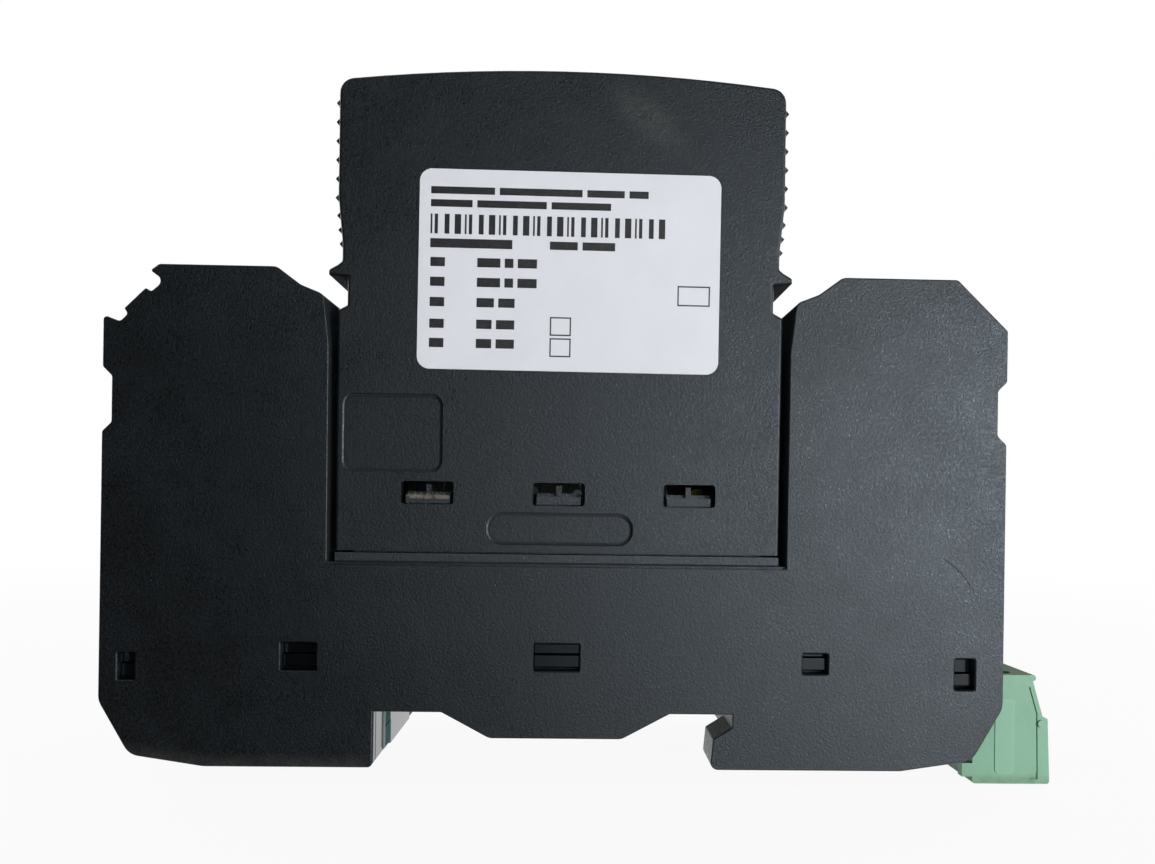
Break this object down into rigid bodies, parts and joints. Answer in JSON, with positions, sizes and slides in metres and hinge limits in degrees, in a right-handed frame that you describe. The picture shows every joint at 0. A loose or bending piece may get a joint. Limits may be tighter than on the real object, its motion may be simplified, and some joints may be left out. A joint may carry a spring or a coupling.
{
  "type": "surge protective device",
  "caption": "Pluggable surge arrester for a 35 mm rail: black U-shaped base with screw terminals, pull-out plug with ribbed grips and a green signal connector.",
  "frame": {"origin": "middle of the rail seat, on the plane where the rail's flanges rest", "axes": "+X along the device towards the signal connector, +Y from the labelled side to the far side, along the rail, +Z out from the rail towards the plug's crown"},
  "size_m": [0.1003, 0.0356, 0.0746],
  "materials": {
    "housing_plastic": "fine moulded grain",
    "cover_plastic": "fine moulded grain, dusty along the left foot",
    "plug_plastic": "fine moulded grain, faint dusty smudge",
    "frame_plastic": "satin",
    "latch_plastic": "smooth satin",
    "spring_steel": "drawn wire and strip",
    "tinned_copper": "tin plated",
    "contact_copper": "bright",
    "switch_plastic": "satin",
    "plunger_plastic": "natural",
    "board_laminate": "solder mask",
    "connector_green": "satin, light green",
    "chamber_plastic": "filled thermoset",
    "rivet_brass": "plain",
    "electrode_metal": "sintered copper and tungsten",
    "varistor_coating": "dipped epoxy",
    "tube_ceramic": "glazed ceramic with metal caps",
    "potting_black": "potted",
    "status_green": "satin",
    "clear_window": "clear",
    "label_white": "satin film",
    "cage_steel": "zinc plated",
    "screw_steel": "zinc plated"
  },
  "bodies": {
    "base": {"base_housing": "housing_plastic", "base_side_cover": "cover_plastic", "busbar_left": "tinned_copper", "busbar_right": "tinned_copper", "socket_contact_left": "contact_copper", "socket_contact_right": "contact_copper", "socket_spring_left": "spring_steel", "socket_spring_right": "spring_steel", "switch_body": "switch_plastic", "signal_board": "board_laminate", "signal_header": "connector_green", "header_pins": "tinned_copper", "latch_spring": "spring_steel"},
    "latch": {"rail_latch": "latch_plastic"},
    "plug": {"plug_cover": "plug_plastic", "plug_base": "frame_plastic", "blade_left": "tinned_copper", "blade_right": "tinned_copper", "chamber_near_half": "chamber_plastic", "chamber_far_half": "chamber_plastic", "chamber_rivets": "rivet_brass", "electrode_left": "electrode_metal", "electrode_right": "electrode_metal", "trigger_board": "board_laminate", "varistor_disc": "varistor_coating", "gas_tube": "tube_ceramic", "pulse_transformer": "potting_black", "slider_spring": "spring_steel", "indicator_window": "clear_window", "type_label": "label_white", "coding_pin": "frame_plastic"},
    "slider": {"status_slider": "status_green"},
    "plunger": {"switch_plunger": "plunger_plastic"},
    "connector": {"connector_body": "connector_green", "connector_contacts": "contact_copper"},
    "cage_left_near": {"terminal_cage_left_near": "cage_steel"},
    "screw_left_near": {"terminal_screw_left_near": "screw_steel"},
    "cage_left_far": {"terminal_cage_left_far": "cage_steel"},
    "screw_left_far": {"terminal_screw_left_far": "screw_steel"},
    "cage_right_near": {"terminal_cage_right_near": "cage_steel"},
    "screw_right_near": {"terminal_screw_right_near": "screw_steel"},
    "cage_right_far": {"terminal_cage_right_far": "cage_steel"},
    "screw_right_far": {"terminal_screw_right_far": "screw_steel"},
    "clamp_1": {"connector_clamp_1": "cage_steel"},
    "small_screw_1": {"connector_screw_1": "screw_steel"},
    "clamp_2": {"connector_clamp_2": "cage_steel"},
    "small_screw_2": {"connector_screw_2": "screw_steel"},
    "clamp_3": {"connector_clamp_3": "cage_steel"},
    "small_screw_3": {"connector_screw_3": "screw_steel"}
  },
  "joints": [
    {"name": "plug_pull", "type": "slide", "parent": "base", "child": "plug", "axis": [0, 0, 1], "range_m": [0, 0.04]},
    {"name": "latch_slide", "type": "slide", "parent": "base", "child": "latch", "axis": [1, 0, 0], "range_m": [0, 0.004]},
    {"name": "status_trip", "type": "slide", "parent": "plug", "child": "slider", "axis": [0, 0, 1], "range_m": [0, 0.004]},
    {"name": "switch_press", "type": "slide", "parent": "base", "child": "plunger", "axis": [0, 0, -1], "range_m": [0, 0.0012], "stiffness_N_per_m": 200, "springref_m": -0.0005},
    {"name": "connector_unplug", "type": "slide", "parent": "base", "child": "connector", "axis": [1, 0, 0], "range_m": [0, 0.008]},
    {"name": "screw_turn_left_near", "type": "hinge", "parent": "base", "child": "screw_left_near", "pos_m": [-0.0355, -0.0084, 0.035], "axis": [0, 0, 1], "range_deg": [0, 2880]},
    {"name": "cage_lift_left_near", "type": "slide", "parent": "base", "child": "cage_left_near", "axis": [0, 0, 1], "range_m": [0, 0.0064]},
    {"name": "screw_turn_left_far", "type": "hinge", "parent": "base", "child": "screw_left_far", "pos_m": [-0.0355, 0.0084, 0.035], "axis": [0, 0, 1], "range_deg": [0, 2880]},
    {"name": "cage_lift_left_far", "type": "slide", "parent": "base", "child": "cage_left_far", "axis": [0, 0, 1], "range_m": [0, 0.0064]},
    {"name": "screw_turn_right_near", "type": "hinge", "parent": "base", "child": "screw_right_near", "pos_m": [0.0355, -0.0084, 0.035], "axis": [0, 0, 1], "range_deg": [0, 2880]},
    {"name": "cage_lift_right_near", "type": "slide", "parent": "base", "child": "cage_right_near", "axis": [0, 0, 1], "range_m": [0, 0.0064]},
    {"name": "screw_turn_right_far", "type": "hinge", "parent": "base", "child": "screw_right_far", "pos_m": [0.0355, 0.0084, 0.035], "axis": [0, 0, 1], "range_deg": [0, 2880]},
    {"name": "cage_lift_right_far", "type": "slide", "parent": "base", "child": "cage_right_far", "axis": [0, 0, 1], "range_m": [0, 0.0064]},
    {"name": "small_screw_turn_1", "type": "hinge", "parent": "connector", "child": "small_screw_1", "pos_m": [0.0484, -0.0134, 0], "axis": [0, 0, 1], "range_deg": [0, 1440]},
    {"name": "clamp_lift_1", "type": "slide", "parent": "connector", "child": "clamp_1", "axis": [0, 0, 1], "range_m": [0, 0.0016]},
    {"name": "small_screw_turn_2", "type": "hinge", "parent": "connector", "child": "small_screw_2", "pos_m": [0.0484, -0.0099, 0], "axis": [0, 0, 1], "range_deg": [0, 1440]},
    {"name": "clamp_lift_2", "type": "slide", "parent": "connector", "child": "clamp_2", "axis": [0, 0, 1], "range_m": [0, 0.0016]},
    {"name": "small_screw_turn_3", "type": "hinge", "parent": "connector", "child": "small_screw_3", "pos_m": [0.0484, -0.0064, 0], "axis": [0, 0, 1], "range_deg": [0, 1440]},
    {"name": "clamp_lift_3", "type": "slide", "parent": "connector", "child": "clamp_3", "axis": [0, 0, 1], "range_m": [0, 0.0016]}
  ],
  "couplings": [
    {"joint": "screw_turn_left_near", "follows": "cage_lift_left_near", "rad_per_m": 7853.9},
    {"joint": "screw_turn_left_far", "follows": "cage_lift_left_far", "rad_per_m": 7853.9},
    {"joint": "screw_turn_right_near", "follows": "cage_lift_right_near", "rad_per_m": 7853.9},
    {"joint": "screw_turn_right_far", "follows": "cage_lift_right_far", "rad_per_m": 7853.9},
    {"joint": "small_screw_turn_1", "follows": "clamp_lift_1", "rad_per_m": 15708},
    {"joint": "small_screw_turn_2", "follows": "clamp_lift_2", "rad_per_m": 15708},
    {"joint": "small_screw_turn_3", "follows": "clamp_lift_3", "rad_per_m": 15708}
  ]
}
